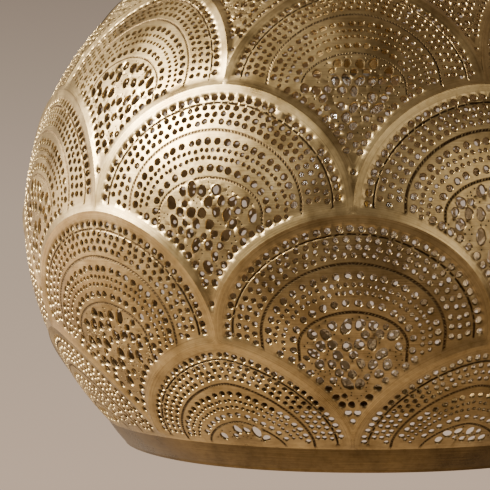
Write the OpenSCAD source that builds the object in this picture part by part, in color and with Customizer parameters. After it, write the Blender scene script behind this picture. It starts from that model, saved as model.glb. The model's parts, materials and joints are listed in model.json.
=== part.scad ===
// Pierced brass globe pendant lantern, hung by a ring, with an E27 lampholder and bulb inside.
// The hanging point is the origin: the underside of the top of the hanging ring. +Z is up.

/* [Globe] */
// Widest diameter of the globe
globe_d = 300; // [260:5:380]
// Half height of the globe as a share of its half width
globe_flatness = 0.916; // [0.88:0.004:0.94]
// Thickness of the brass sheet
sheet_t = 0.9; // [0.8:0.1:1.2]
// Latitude at which the pierced globe ends and the plain rim starts
rim_lat = -41.3; // [-43:0.1:-41]
// Height of the plain rim
rim_h = 11; // [8:0.5:13]
// How far the rim draws in from its top to its lower edge
rim_taper = 8; // [5:0.2:9]

/* [Piercing] */
// Number of scales in one row around the globe
scales_round = 8; // [6:1:10]
// Number of rows of scales from the rim to the neck
scale_rows = 5; // [5:1:5]
// Latitude of the feet of the lowest row of scales
first_row_lat = -39.6; // [-40:0.2:-39]
// Diameter of the holes that outline each scale
outline_hole_d = 2.6; // [1.6:0.2:3]
// Number of outline holes over the arch of one scale
arch_holes = 9; // [5:1:11]

/* [Hanging] */
// Radius of the hanging ring, measured to the middle of its wire
ring_r = 20; // [18:1:24]
// Radius of the wire of the ring and of the loop
wire_r = 2.5; // [2:0.25:3]
// Inside radius of the eye of the hanging loop
eye_r = 6; // [5.5:0.5:7]

/* [Top] */
// Outside radius of the neck of the collar
neck_r = 42; // [40:1:44]
// Radius of the rounded edge of the top cap
cap_edge_r = 9; // [7:1:10]
// Bore of the cord grommet
cord_bore_d = 6.4; // [5:0.2:7]
// Distance from the centre line to the cord grommet
cord_x = 24; // [22:1:25]

/* [Light source] */
// Diameter of the glass bulb
bulb_d = 60; // [50:5:60]
// Overall length of the bulb, contact to tip
bulb_len = 107; // [100:1:115]
// Number of glowing filaments in the bulb
filament_count = 4; // [2:1:6]

/* [Hidden] */

$fn = 96;
fit_gap = 0.05;      // between two pieces that are fixed to each other
free_gap = 0.3;      // between two pieces that move on each other
seat_gap = 0.02;     // between a seat and the curved sheet it is soldered to
cut = 1;             // how far a cutting shape runs past the face it cuts

globe_a = globe_d / 2;
globe_b = globe_a * globe_flatness;

ring_z = wire_r - ring_r;
pivot_z = -2 * ring_r + wire_r;
eye_z = pivot_z + wire_r + free_gap - eye_r;
eye_bottom_z = eye_z - eye_r - 2 * wire_r;

shoulder_r = 7;
shoulder_h = 2.5;
shoulder_z = eye_bottom_z - 4.5;
washer_t = 1.5;
washer_r = 11;
cap_z = shoulder_z - shoulder_h - washer_t;
cap_t = 1.2;
cap_h = 25;
cap_r = neck_r + fit_gap + cap_t;
cap_flat_r = cap_r - cap_edge_r;

stud_r = 4;
stud_end_z = cap_z - 17;
spring_washer_t = 2;
stud_nut_h = 6.5;
stud_nut_flats = 13;

neck_top_z = cap_z - 13;
neck_t = 1.2;
neck_ir = neck_r - neck_t;
flange_w = 6;
seat_lat = acos((neck_r + flange_w) / globe_a);
neck_lat = acos((neck_r + 2) / globe_a);
ledge_z = cap_z - 32;
ledge_ir = 29;
screw_row_z = cap_z - 18;

// The opening of the globe sits level with the lower end of the neck.
centre_z = ledge_z - globe_b * sin(neck_lat);

bar_t = 2;
bar_w = 16;
bar_z = ledge_z;
bar_half = 37;
bar_screw_x = 33;
m4_r = 2;
m3_r = 1.5;

tube_r = 5;
tube_bore_r = 3.6;
tube_top_z = bar_z + 8;
tube_washer_t = 1;
tube_washer_r = 9;
tube_nut_h = 4;
tube_nut_flats = 14;

holder_z = bar_z - 9;
holder_neck_r = 8;
holder_neck_h = 10;
holder_r = 19.5;
holder_t = 1.5;
holder_split_z = holder_z - 26;
holder_end_z = holder_split_z - 31;
holder_lip_r = 15;
sleeve_below = 2;
sleeve_above = 2;
sleeve_gap = 0.4;
tube_end_z = holder_z - holder_neck_h - 3;

core_r = holder_r - 2 * holder_t - fit_gap;
core_top_z = holder_split_z + 1;
core_floor_z = core_top_z - 5;
core_end_z = holder_end_z + 1.25;
shell_ir = 13.45;
shell_t = 0.45;

bulb_tip_z = core_floor_z - 1.8;
contact_r = 4.5;
contact_h = 1.6;
insulator_h = 4.1;
insulator_r = 10.6;
bulb_cap_r = shell_ir - free_gap;
bulb_cap_t = 0.5;
bulb_cap_top_z = bulb_tip_z - contact_h - insulator_h;
bulb_cap_h = 21;
glass_t = 0.6;
bulb_r = bulb_d / 2;
bulb_centre_z = bulb_tip_z - bulb_len + bulb_r;
glass_neck_r = bulb_cap_r - bulb_cap_t - 0.15;
glass_top_z = bulb_cap_top_z - 11;
shoulder_arc_r = 35;
arc_dx = glass_neck_r + shoulder_arc_r;
arc_dz = sqrt(pow(bulb_r + shoulder_arc_r, 2) - pow(arc_dx, 2));
arc_angle = atan2(arc_dz, arc_dx);
stem_r = 4;
stem_end_z = bulb_centre_z + 21;
filament_r = 1.1;
filament_top_z = bulb_centre_z + 17;
filament_end_z = bulb_centre_z - 19;
filament_orbit_r = 8;
support_r = 0.5;

scale_pitch = 360 / scales_round;
row_pitch = 22.6;
arch_half_w = 0.9 * scale_pitch / 2;
arch_h = 0.82 * row_pitch;
foot_h = 0.71 * row_pitch;

brass = "#a07c3e";
dark_brass = "#86632f";
plated_steel = "#b9b6ad";
ceramic_white = "#e9e4d8";
black_plastic = "#26241f";
clear_glass = "#dfe8e6";
filament_yellow = "#f0c64c";

// ---------- shared shapes ----------

// A point of the globe at a latitude, on the skin that lies a given depth inside the outer face.
function globe_point(lat, depth) =
    [(globe_a - depth) * cos(lat), centre_z + (globe_b - depth) * sin(lat)];

// The direction square to the sheet at a latitude, as an angle above the horizontal.
function sheet_angle(lat) = atan2(sin(lat) / globe_b, cos(lat) / globe_a);

// A run of globe points between two latitudes.
function globe_run(from_lat, to_lat, steps, depth) =
    [for (i = [0:steps]) globe_point(from_lat + (to_lat - from_lat) * i / steps, depth)];

module tube(r_out, r_in, z_low, z_high) {
    translate([0, 0, z_low])
        difference() {
            cylinder(r = r_out, h = z_high - z_low);
            translate([0, 0, -cut])
                cylinder(r = r_in, h = z_high - z_low + 2 * cut);
        }
}

module torus(major_r, minor_r) {
    rotate_extrude()
        translate([major_r, 0])
            circle(r = minor_r, $fn = 48);
}

// A hexagon nut with its lower face on z_low.
module hex_nut(flats, bore_r, h, z_low) {
    translate([0, 0, z_low])
        difference() {
            intersection() {
                cylinder(d = flats / cos(30), h = h, $fn = 6);
                cylinder(r1 = flats / 2 + 0.9 * h, r2 = flats / 2 + 0.35, h = h);
            }
            translate([0, 0, -cut])
                cylinder(r = bore_r, h = h + 2 * cut);
        }
}

// A slotted cheese head screw along +Z: the seat of the head is at zero and the shank points down.
module slotted_screw(r, length, head_r, head_h) {
    slot_w = 0.35 * head_r;
    difference() {
        cylinder(r = head_r, h = head_h);
        translate([-head_r - cut, -slot_w / 2, 0.55 * head_h])
            cube([2 * (head_r + cut), slot_w, head_h]);
    }
    translate([0, 0, -length])
        cylinder(r = r, h = length + 0.01);
}

// ---------- hanging gear ----------

module hanging_ring() {
    color(brass)
        translate([0, 0, ring_z])
            rotate([0, 90, 0])
                torus(ring_r, wire_r);
}

module hanging_loop() {
    color(brass) {
        translate([0, 0, eye_z])
            rotate([90, 0, 0])
                torus(eye_r + wire_r, wire_r);
        translate([0, 0, shoulder_z])
            cylinder(r1 = shoulder_r - 1.5, r2 = 4, h = eye_bottom_z - shoulder_z + wire_r);
        translate([0, 0, shoulder_z - shoulder_h])
            cylinder(r = shoulder_r, h = shoulder_h);
        translate([0, 0, stud_end_z])
            cylinder(r = stud_r, h = shoulder_z - shoulder_h - stud_end_z + 0.01);
    }
}

module loop_washer() {
    color(brass)
        tube(washer_r, stud_r + fit_gap, cap_z, cap_z + washer_t);
}

module stud_spring_washer() {
    slit_w = 1.2;
    color(plated_steel)
        difference() {
            tube(7, stud_r + 0.15, cap_z - cap_t - spring_washer_t, cap_z - cap_t);
            translate([0, -slit_w / 2, cap_z - cap_t - spring_washer_t - cut])
                cube([10, slit_w, spring_washer_t + 2 * cut]);
        }
}

module stud_nut() {
    nut_z = cap_z - cap_t - spring_washer_t - stud_nut_h;
    color(plated_steel)
        hex_nut(stud_nut_flats, stud_r + fit_gap, stud_nut_h, nut_z);
}

// ---------- top cap and collar ----------

// Half section of the cap: a flat top, a rounded edge, a straight skirt and a rolled bead.
module cap_section() {
    skirt_z = cap_z - cap_h;
    edge_z = cap_z - cap_edge_r;
    difference() {
        union() {
            translate([0, edge_z])
                square([cap_flat_r, cap_edge_r]);
            translate([0, skirt_z])
                square([cap_r, edge_z - skirt_z]);
            intersection() {
                translate([cap_flat_r, edge_z])
                    circle(r = cap_edge_r);
                translate([cap_flat_r, edge_z])
                    square(cap_edge_r);
            }
            translate([cap_r, skirt_z + 1])
                circle(r = 1, $fn = 32);
        }
        translate([-cut, skirt_z - cut])
            square([cap_r - cap_t + cut, edge_z - skirt_z + cut]);
        translate([-cut, edge_z - cut])
            square([cap_flat_r + cut, cap_edge_r - cap_t + cut]);
        intersection() {
            translate([cap_flat_r, edge_z])
                circle(r = cap_edge_r - cap_t);
            translate([cap_flat_r, edge_z])
                square(cap_edge_r);
        }
    }
}

// The cap screws stand clear of the ends of the cross bar.
module at_cap_screws() {
    for (turn = [90, 210, 330])
        rotate([0, 0, turn])
            translate([cap_r, 0, screw_row_z])
                rotate([0, 90, 0])
                    children();
}

module top_cap() {
    color(brass)
        difference() {
            rotate_extrude()
                cap_section();
            translate([0, 0, cap_z - 2 * cap_t])
                cylinder(r = stud_r + fit_gap, h = 4 * cap_t);
            translate([cord_x, 0, cap_z - 2 * cap_t])
                cylinder(d = cord_bore_d + 3.2, h = 4 * cap_t);
            at_cap_screws()
                translate([0, 0, -2 * cap_t])
                    cylinder(r = m3_r + fit_gap, h = 4 * cap_t);
        }
}

module cap_screws() {
    color(plated_steel)
        at_cap_screws()
            slotted_screw(m3_r, 5, 3, 2);
}

module cord_grommet() {
    flange_r = cord_bore_d / 2 + 3.3;
    waist_r = cord_bore_d / 2 + 1.6 - fit_gap;
    color(black_plastic)
        translate([cord_x, 0, cap_z])
            difference() {
                union() {
                    translate([0, 0, fit_gap])
                        cylinder(r1 = flange_r, r2 = flange_r - 1, h = 2.4);
                    translate([0, 0, -cap_t - fit_gap])
                        cylinder(r = waist_r, h = cap_t + 3 * fit_gap);
                    translate([0, 0, -cap_t - fit_gap - 3.4])
                        cylinder(r1 = flange_r - 1, r2 = flange_r - 0.4, h = 3.4);
                }
                translate([0, 0, -20])
                    cylinder(d = cord_bore_d, h = 40);
            }
}

// Half section of the collar: the neck, the flange soldered on the globe and the inner ledge.
module collar_section() {
    flange_t = 1.4;
    seat = globe_run(neck_lat, seat_lat, 4, -seat_gap);
    top = globe_run(seat_lat, neck_lat, 4, -seat_gap - flange_t);
    polygon(concat(seat, top, [[neck_r, ledge_z + 2.4], [neck_r, seat[0][1]]]));
    translate([neck_ir, ledge_z - 1.2])
        square([neck_t, neck_top_z - ledge_z + 1.2]);
    translate([ledge_ir, ledge_z - 1.2])
        square([neck_r - ledge_ir, 1.2]);
}

module at_bar_screws() {
    for (side = [-1, 1])
        translate([side * bar_screw_x, 0, 0])
            children();
}

module top_collar() {
    color(brass)
        difference() {
            rotate_extrude()
                collar_section();
            at_cap_screws()
                translate([0, 0, -6])
                    cylinder(r = m3_r + fit_gap, h = 8);
            at_bar_screws()
                translate([0, 0, ledge_z - 3])
                    cylinder(r = m4_r + fit_gap, h = 6);
        }
}

// ---------- globe ----------

// One outline hole, square to the sheet.
module sheet_hole(lon, lat) {
    rotate([0, 0, lon])
        translate([globe_point(lat, 0)[0], 0, globe_point(lat, 0)[1]])
            rotate([0, 90 - sheet_angle(lat), 0])
                cylinder(d = outline_hole_d, h = 6 * sheet_t, center = true, $fn = 8);
}

// The outline of one scale: an arch of holes and a single hole at the tip of its foot.
module scale_holes(lon, lat) {
    for (i = [0:arch_holes - 1]) {
        turn = 180 * i / (arch_holes - 1);
        hole_lat = lat + arch_h * sin(turn);
        sheet_hole(lon + arch_half_w * cos(turn), hole_lat);
    }
    if (lat - foot_h > rim_lat + 2)
        sheet_hole(lon, lat - foot_h);
}

module globe_shell() {
    steps = 48;
    color(dark_brass)
        difference() {
            rotate_extrude($fn = 180)
                polygon(concat(
                    globe_run(rim_lat, neck_lat, steps, 0),
                    globe_run(neck_lat, rim_lat, steps, sheet_t)
                ));
            for (row = [0:scale_rows - 1])
                for (i = [0:scales_round - 1])
                    scale_holes((i + ((row + 1) % 2) / 2) * scale_pitch - 90, first_row_lat + row * row_pitch);
        }
}

module bottom_rim() {
    outer = globe_point(rim_lat, 0);
    inner = globe_point(rim_lat, sheet_t);
    low_r = outer[0] - rim_taper;
    low_z = outer[1] - rim_h;
    lip_r = 0.75;
    color(dark_brass)
        rotate_extrude($fn = 180) {
            polygon([
                outer,
                inner,
                [inner[0] - 0.6, inner[1] - 1.5],
                [low_r - 2 * lip_r, low_z + lip_r],
                [low_r, low_z + lip_r]
            ]);
            translate([low_r - lip_r, low_z + lip_r])
                circle(r = lip_r, $fn = 32);
        }
}

// ---------- cross bar and wiring fittings ----------

clamp_x = 20;
clamp_screw_y = 5.6;
earth_x = -20;

module at_clamp_screws() {
    for (side = [-1, 1])
        translate([clamp_x, side * clamp_screw_y, 0])
            children();
}

module cross_bar() {
    color(plated_steel)
        difference() {
            translate([0, 0, bar_z])
                intersection() {
                    translate([-bar_half, -bar_w / 2, 0])
                        cube([2 * bar_half, bar_w, bar_t]);
                    cylinder(r = bar_half, h = bar_t);
                }
            translate([0, 0, bar_z - cut])
                cylinder(r = tube_r + fit_gap, h = bar_t + 2 * cut);
            at_bar_screws()
                translate([0, 0, bar_z - cut])
                    cylinder(r = m4_r + fit_gap, h = bar_t + 2 * cut);
            at_clamp_screws()
                translate([0, 0, bar_z - cut])
                    cylinder(r = m3_r + fit_gap, h = bar_t + 2 * cut);
            translate([earth_x, 0, bar_z - cut])
                cylinder(r = m4_r + fit_gap, h = bar_t + 2 * cut);
        }
}

module cross_bar_screws() {
    color(plated_steel)
        at_bar_screws()
            translate([0, 0, bar_z + bar_t])
                slotted_screw(m4_r, 8, 3.6, 2.4);
}

module cross_bar_nuts() {
    color(plated_steel)
        at_bar_screws()
            hex_nut(7, m4_r + fit_gap, 3.2, ledge_z - 1.2 - 3.2);
}

module cord_clamp() {
    clamp_h = 4.5;
    color(black_plastic)
        difference() {
            translate([clamp_x - 4, -bar_w / 2, bar_z + bar_t])
                cube([8, bar_w, clamp_h]);
            translate([clamp_x - 4 - cut, 0, bar_z + bar_t])
                rotate([0, 90, 0])
                    cylinder(r = 3, h = 8 + 2 * cut);
            at_clamp_screws()
                translate([0, 0, bar_z])
                    cylinder(r = m3_r + fit_gap, h = 10);
        }
}

module cord_clamp_screws() {
    color(plated_steel)
        at_clamp_screws()
            translate([0, 0, bar_z + bar_t + 4.5])
                slotted_screw(m3_r, 8, 2.6, 1.8);
}

module earth_washer() {
    color(brass)
        translate([earth_x, 0, 0])
            tube(5, m4_r + fit_gap, bar_z + bar_t, bar_z + bar_t + 1);
}

module earth_screw() {
    color(brass)
        translate([earth_x, 0, bar_z + bar_t + 1])
            slotted_screw(m4_r, 7, 3.8, 2.4);
}

module threaded_tube() {
    color(brass)
        tube(tube_r, tube_bore_r, tube_end_z, tube_top_z);
}

module tube_washers() {
    color(plated_steel) {
        tube(tube_washer_r, tube_r + fit_gap, bar_z + bar_t, bar_z + bar_t + tube_washer_t);
        tube(tube_washer_r, tube_r + fit_gap, bar_z - tube_washer_t, bar_z);
    }
}

module tube_nuts() {
    color(brass) {
        hex_nut(tube_nut_flats, tube_r + fit_gap, tube_nut_h, bar_z + bar_t + tube_washer_t);
        hex_nut(tube_nut_flats, tube_r + fit_gap, tube_nut_h, bar_z - tube_washer_t - tube_nut_h);
    }
}

// ---------- lampholder ----------

// Outline of the holder's cap: a straight neck that opens into a rounded shoulder.
function holder_curve(wall) =
    [for (i = [0:12])
        [
            holder_neck_r + (holder_r - holder_neck_r) * sin(90 * i / 12) - wall,
            holder_split_z + (holder_z - holder_neck_h - holder_split_z - wall) * cos(90 * i / 12)
        ]];

module holder_cap() {
    neck_wall = holder_neck_r - tube_r - fit_gap;
    lock_z = holder_z - 4;
    color(brass)
        difference() {
            rotate_extrude() {
                polygon(concat(
                    [[holder_neck_r - neck_wall, holder_z - holder_neck_h], [holder_neck_r - neck_wall, holder_z],
                     [holder_neck_r, holder_z]],
                    holder_curve(0),
                    [for (i = [0:12]) holder_curve(holder_t)[12 - i]],
                    [[holder_neck_r - neck_wall, holder_z - holder_neck_h - holder_t]]
                ));
            }
            translate([0, 0, lock_z])
                rotate([0, 90, 0])
                    cylinder(r = m3_r + fit_gap, h = 20);
        }
}

module holder_lock_screw() {
    lock_z = holder_z - 4;
    color(plated_steel)
        translate([holder_neck_r + 0.2, 0, lock_z])
            rotate([0, 90, 0])
                slotted_screw(m3_r, holder_neck_r - tube_r, 2.6, 1.8);
}

// The body carries a thin sleeve at its upper end that centres the cap of the holder.
module holder_body() {
    sleeve_ir = holder_r - 2 * holder_t;
    color(brass)
        rotate_extrude() {
            translate([holder_r - holder_t, holder_end_z])
                square([holder_t, holder_split_z - holder_end_z]);
            translate([sleeve_ir, holder_split_z - sleeve_below])
                square([holder_t - sleeve_gap, sleeve_below + sleeve_above]);
            translate([sleeve_ir, holder_split_z - sleeve_below])
                square([holder_t + fit_gap, sleeve_below]);
            translate([holder_lip_r, holder_end_z])
                square([holder_r - holder_lip_r, 1.2]);
        }
}

module ceramic_core() {
    color(ceramic_white)
        difference() {
            translate([0, 0, core_end_z])
                cylinder(r = core_r, h = core_top_z - core_end_z);
            translate([0, 0, core_end_z - cut])
                cylinder(r = shell_ir + shell_t + fit_gap, h = core_floor_z - core_end_z + cut);
            translate([0, 0, core_floor_z - cut])
                cylinder(r = 2, h = 10);
            for (side = [-1, 1])
                translate([0, side * 10, core_floor_z - cut])
                    cylinder(r = m3_r + fit_gap, h = 10);
        }
}

module terminal_screws() {
    color(brass)
        for (side = [-1, 1])
            translate([0, side * 10, core_top_z])
                slotted_screw(m3_r, 4.4, 2.8, 2);
}

module socket_shell() {
    color(brass)
        tube(shell_ir + shell_t, shell_ir, core_end_z + 1.5, core_floor_z - 3);
}

// A springy strip under the floor of the core: a rivet pad at one end, a dished pad at the centre.
module centre_contact() {
    strip_t = 0.5;
    color(brass) {
        translate([-10, -2.5, core_floor_z - strip_t])
            cube([6, 5, strip_t]);
        translate([-4, 2.5, core_floor_z])
            rotate([90, 0, 0])
                linear_extrude(height = 5)
                    polygon([[0, 0], [0, -strip_t], [2.5, -strip_t - 1], [6, -strip_t - 1], [6, -1], [2.5, -1]]);
        translate([-7, 0, core_floor_z - strip_t - 0.5])
            cylinder(r = 1.4, h = 0.51);
    }
}

// ---------- bulb ----------

module bulb_contact() {
    color(plated_steel)
        translate([0, 0, bulb_tip_z - contact_h])
            cylinder(r1 = contact_r, r2 = contact_r - 0.8, h = contact_h);
}

module bulb_insulator() {
    color(black_plastic)
        translate([0, 0, bulb_cap_top_z])
            cylinder(r1 = insulator_r, r2 = contact_r + 0.6, h = insulator_h);
}

module bulb_cap() {
    crimp_h = 2;
    color(plated_steel)
        rotate_extrude() {
            translate([bulb_cap_r - bulb_cap_t, bulb_cap_top_z - bulb_cap_h])
                square([bulb_cap_t, bulb_cap_h - crimp_h]);
            polygon([
                [bulb_cap_r - bulb_cap_t, bulb_cap_top_z - crimp_h],
                [bulb_cap_r, bulb_cap_top_z - crimp_h],
                [insulator_r, bulb_cap_top_z],
                [insulator_r - 1, bulb_cap_top_z - 0.01],
                [insulator_r - 1, bulb_cap_top_z - 0.6]
            ]);
        }
}

// Outline of the glass: a straight neck, a hollow shoulder and a round end.
function glass_outline(wall) = concat(
    [[glass_neck_r - wall, glass_top_z]],
    [for (i = [0:12])
        let (turn = 180 + arc_angle * i / 12)
        [arc_dx + (shoulder_arc_r + wall) * cos(turn),
         bulb_centre_z + arc_dz + (shoulder_arc_r + wall) * sin(turn)]],
    [for (i = [1:24])
        let (turn = arc_angle - (arc_angle + 90) * i / 24)
        [max(0, (bulb_r - wall) * cos(turn)), bulb_centre_z + (bulb_r - wall) * sin(turn)]]
);

module bulb_glass() {
    outside = glass_outline(0);
    inside = glass_outline(glass_t);
    last = len(inside) - 1;
    color(clear_glass, 0.5)
        rotate_extrude()
            polygon(concat(outside, [for (i = [0:last]) inside[last - i]]));
}

module bulb_stem() {
    color(clear_glass, 0.7) {
        translate([0, 0, stem_end_z])
            cylinder(r = stem_r - 1, h = glass_top_z - 4 - stem_end_z);
        translate([0, 0, glass_top_z - 8])
            cylinder(r1 = stem_r, r2 = glass_neck_r - glass_t - 0.1, h = 6);
    }
}

module at_filaments() {
    for (i = [0:filament_count - 1])
        rotate([0, 0, (i + 0.5) * 360 / filament_count])
            translate([filament_orbit_r, 0, 0])
                children();
}

module bulb_filaments() {
    color(filament_yellow)
        at_filaments()
            translate([0, 0, filament_end_z])
                cylinder(r = filament_r, h = filament_top_z - filament_end_z, $fn = 24);
}

// Two spiders hold the filaments: the upper one on the stem, the lower one on a thin wire.
module filament_supports() {
    color(plated_steel) {
        for (z = [filament_top_z + support_r, filament_end_z - support_r])
            translate([0, 0, z]) {
                for (i = [0:filament_count - 1])
                    rotate([0, 0, (i + 0.5) * 360 / filament_count])
                        rotate([0, 90, 0])
                            cylinder(r = support_r, h = filament_orbit_r + 0.6, $fn = 24);
                sphere(r = 2 * support_r, $fn = 24);
            }
        translate([0, 0, filament_end_z - support_r])
            cylinder(r = support_r, h = stem_end_z - filament_end_z + support_r - 0.05, $fn = 24);
    }
}

hanging_ring();
hanging_loop();
loop_washer();
stud_spring_washer();
stud_nut();
top_cap();
cap_screws();
cord_grommet();
top_collar();
globe_shell();
bottom_rim();
cross_bar();
cross_bar_screws();
cross_bar_nuts();
cord_clamp();
cord_clamp_screws();
earth_screw();
earth_washer();
threaded_tube();
tube_washers();
tube_nuts();
holder_cap();
holder_lock_screw();
holder_body();
ceramic_core();
terminal_screws();
socket_shell();
centre_contact();
bulb_cap();
bulb_insulator();
bulb_contact();
bulb_glass();
bulb_stem();
bulb_filaments();
filament_supports();
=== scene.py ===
"""Looks of the pierced brass globe lantern.

The globe is drawn as one sheet of brass, scale by scale: each scale is triangulated around its own
hand-drilled holes, wrapped on the flattened globe and given a thickness, chased lines and a raised ridge.
Lengths are metres in the part's frame, angles are degrees, and pattern sizes are millimetres.
"""

import json
import math

import bpy
import numpy as np
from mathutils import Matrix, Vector
from mathutils.geometry import delaunay_2d_cdt


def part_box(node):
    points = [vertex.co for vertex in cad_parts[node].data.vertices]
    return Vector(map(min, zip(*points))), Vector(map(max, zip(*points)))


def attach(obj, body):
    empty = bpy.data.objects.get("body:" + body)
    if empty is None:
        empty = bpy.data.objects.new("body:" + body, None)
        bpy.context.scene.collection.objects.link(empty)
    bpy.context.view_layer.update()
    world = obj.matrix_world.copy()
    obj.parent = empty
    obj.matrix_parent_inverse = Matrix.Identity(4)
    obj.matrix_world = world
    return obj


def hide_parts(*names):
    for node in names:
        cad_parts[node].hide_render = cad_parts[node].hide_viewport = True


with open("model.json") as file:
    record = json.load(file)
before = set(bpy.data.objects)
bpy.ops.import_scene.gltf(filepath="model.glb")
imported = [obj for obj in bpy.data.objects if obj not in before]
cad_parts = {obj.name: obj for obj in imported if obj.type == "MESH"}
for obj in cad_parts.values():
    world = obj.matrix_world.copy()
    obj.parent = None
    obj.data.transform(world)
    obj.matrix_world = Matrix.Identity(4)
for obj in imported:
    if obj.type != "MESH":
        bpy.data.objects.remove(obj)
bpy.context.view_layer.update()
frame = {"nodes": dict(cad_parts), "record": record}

# ---------------------------------------------------------------- sizes

MM = 0.001
COLUMNS = 8                       # scales round the globe
COLUMN_PITCH = 360 / COLUMNS
ROW_PITCH = 22.0                  # latitude between the feet of two rows
FIRST_ROW = -39.6                 # latitude of the feet of the lowest row
ROWS = 7                          # the last row shows only the tips of its feet, under the collar
RIM_LAT = -41.3                   # the pierced sheet ends here
NECK_R = 0.044                    # radius of the upper opening
SHEET = 0.9 * MM                  # thickness of the brass

shell_low, shell_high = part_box("globe_shell")
rim_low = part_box("bottom_rim")[0]
GLOBE_A = shell_high.x
NECK_LAT = math.degrees(math.acos(NECK_R / GLOBE_A))
RIM_SIN = math.sin(math.radians(RIM_LAT))
GLOBE_B = (shell_high.z - shell_low.z) / (math.sin(math.radians(NECK_LAT)) - RIM_SIN)
GLOBE_Z = shell_low.z - GLOBE_B * RIM_SIN

RIDGE_H = 0.92                    # height of a scale's arch, in rows
ARCH_POWER = 1.9                  # 2 would be an ellipse
LOW_ARCH_POWER = 1.6              # the lowest row is drawn flatter
RIDGE_RISE = 0.8 * MM
RIDGE_REACH = 4.4                 # how far the ridge slopes out to each side
UPRIGHT = np.array([[1.0, RIDGE_H - 1.0], [1.0, 0.0]])   # the right side of a scale, in u and v

# Rings of one scale, from the outside in: kind, width and height as shares of the outline row, drop.
# CHASED gives the half width, depth and bead pitch of those that are lines; a pitch of 0 is a plain line.
RINGS = [
    ("outline", 1.0, 1.0, 0.0),
    ("line", 0.955, 0.948, 0.0),
    ("small", 0.908, 0.905, 0.0),
    ("small", 0.842, 0.836, 0.0),
    ("small", 0.776, 0.765, 0.0),
    ("beads", 0.722, 0.690, -0.005),
    ("medium", 0.668, 0.600, -0.02),
    ("tiny", 0.610, 0.530, -0.03),
    ("tiny", 0.548, 0.468, -0.04),
    ("medium", 0.472, 0.394, -0.06),
    ("edge", 0.428, 0.330, -0.08),
]
OUTLINE_W = 0.905                 # half width of the outline row, in half columns
OUTLINE_H = 0.82                  # its height, in rows
HOLE_R = {"outline": 1.27, "small": 1.03, "medium": 1.27, "tiny": 0.78, "foot": 1.40}
HOLE_STEP = {"outline": 3.95, "small": 3.7, "medium": 4.25, "tiny": 2.65, "foot": 4.4}
LIP = {"outline": 0.36, "small": 0.32, "medium": 0.36, "tiny": 0.24, "foot": 0.36, "fan": 0.38}
LIP_SLOPE = 1.2                   # depth of a lip as a share of its width
FOOT_MARGIN = 5.2                 # from the ridge below a scale to its row of foot holes
FIELD_MARGIN = 4.4                # from the ridge below a scale to the ends of its rings
FAN_STEP = 5.35                   # between the filed holes in the middle of a scale
FAN_SHARE = 0.415                 # half width of the fan as a share of the outline row's
FAN_DROP = -0.08                  # where the fan's arch starts, in rows
RIDGE_GAP = 3.4                   # from the ridge above a scale to its holes
LINE_GAP = 3.6                    # from the ridge below a scale to its chased lines
LINE_FLANK = 0.4                  # from the edge of a chased line to untouched sheet
PUNCH_TRIES = 620                 # tries at placing a punch dot between the filed holes
FILL_TRIES = 260                  # tries at placing a smaller hole in the gaps of a fan
BOUNDARY_STEP = 1.9               # between the points that neighbouring scales share

# Rough millimetres in one row and in one half column, where the exact length doesn't matter.
ROW_MM = 55.0
HALF_MM = 52.0
DOT_MM = 54.0
RIDGE_ROW_MM = 50.0
CHASED = {"line": (0.38, 0.42, 0.0), "beads": (0.50, 0.50, 1.5), "edge": (0.44, 0.48, 1.35)}
COARSE = {(1, 0): 1.12, (2, 7): 0.97, (0, 7): 1.0}   # scales marked out wider or closer than most


# ---------------------------------------------------------------- the sheet

def globe_points(lon, lat, height):
    """Points of the globe at longitudes and latitudes, raised square to the sheet by height."""
    lon = np.radians(lon)
    lat = np.radians(lat)
    out_r = np.cos(lat) / GLOBE_A
    out_z = np.sin(lat) / GLOBE_B
    size = np.hypot(out_r, out_z)
    radius = GLOBE_A * np.cos(lat) + height * out_r / size
    z = GLOBE_Z + GLOBE_B * np.sin(lat) + height * out_z / size
    return np.stack([radius * np.sin(lon), -radius * np.cos(lon), z], 1)


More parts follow.
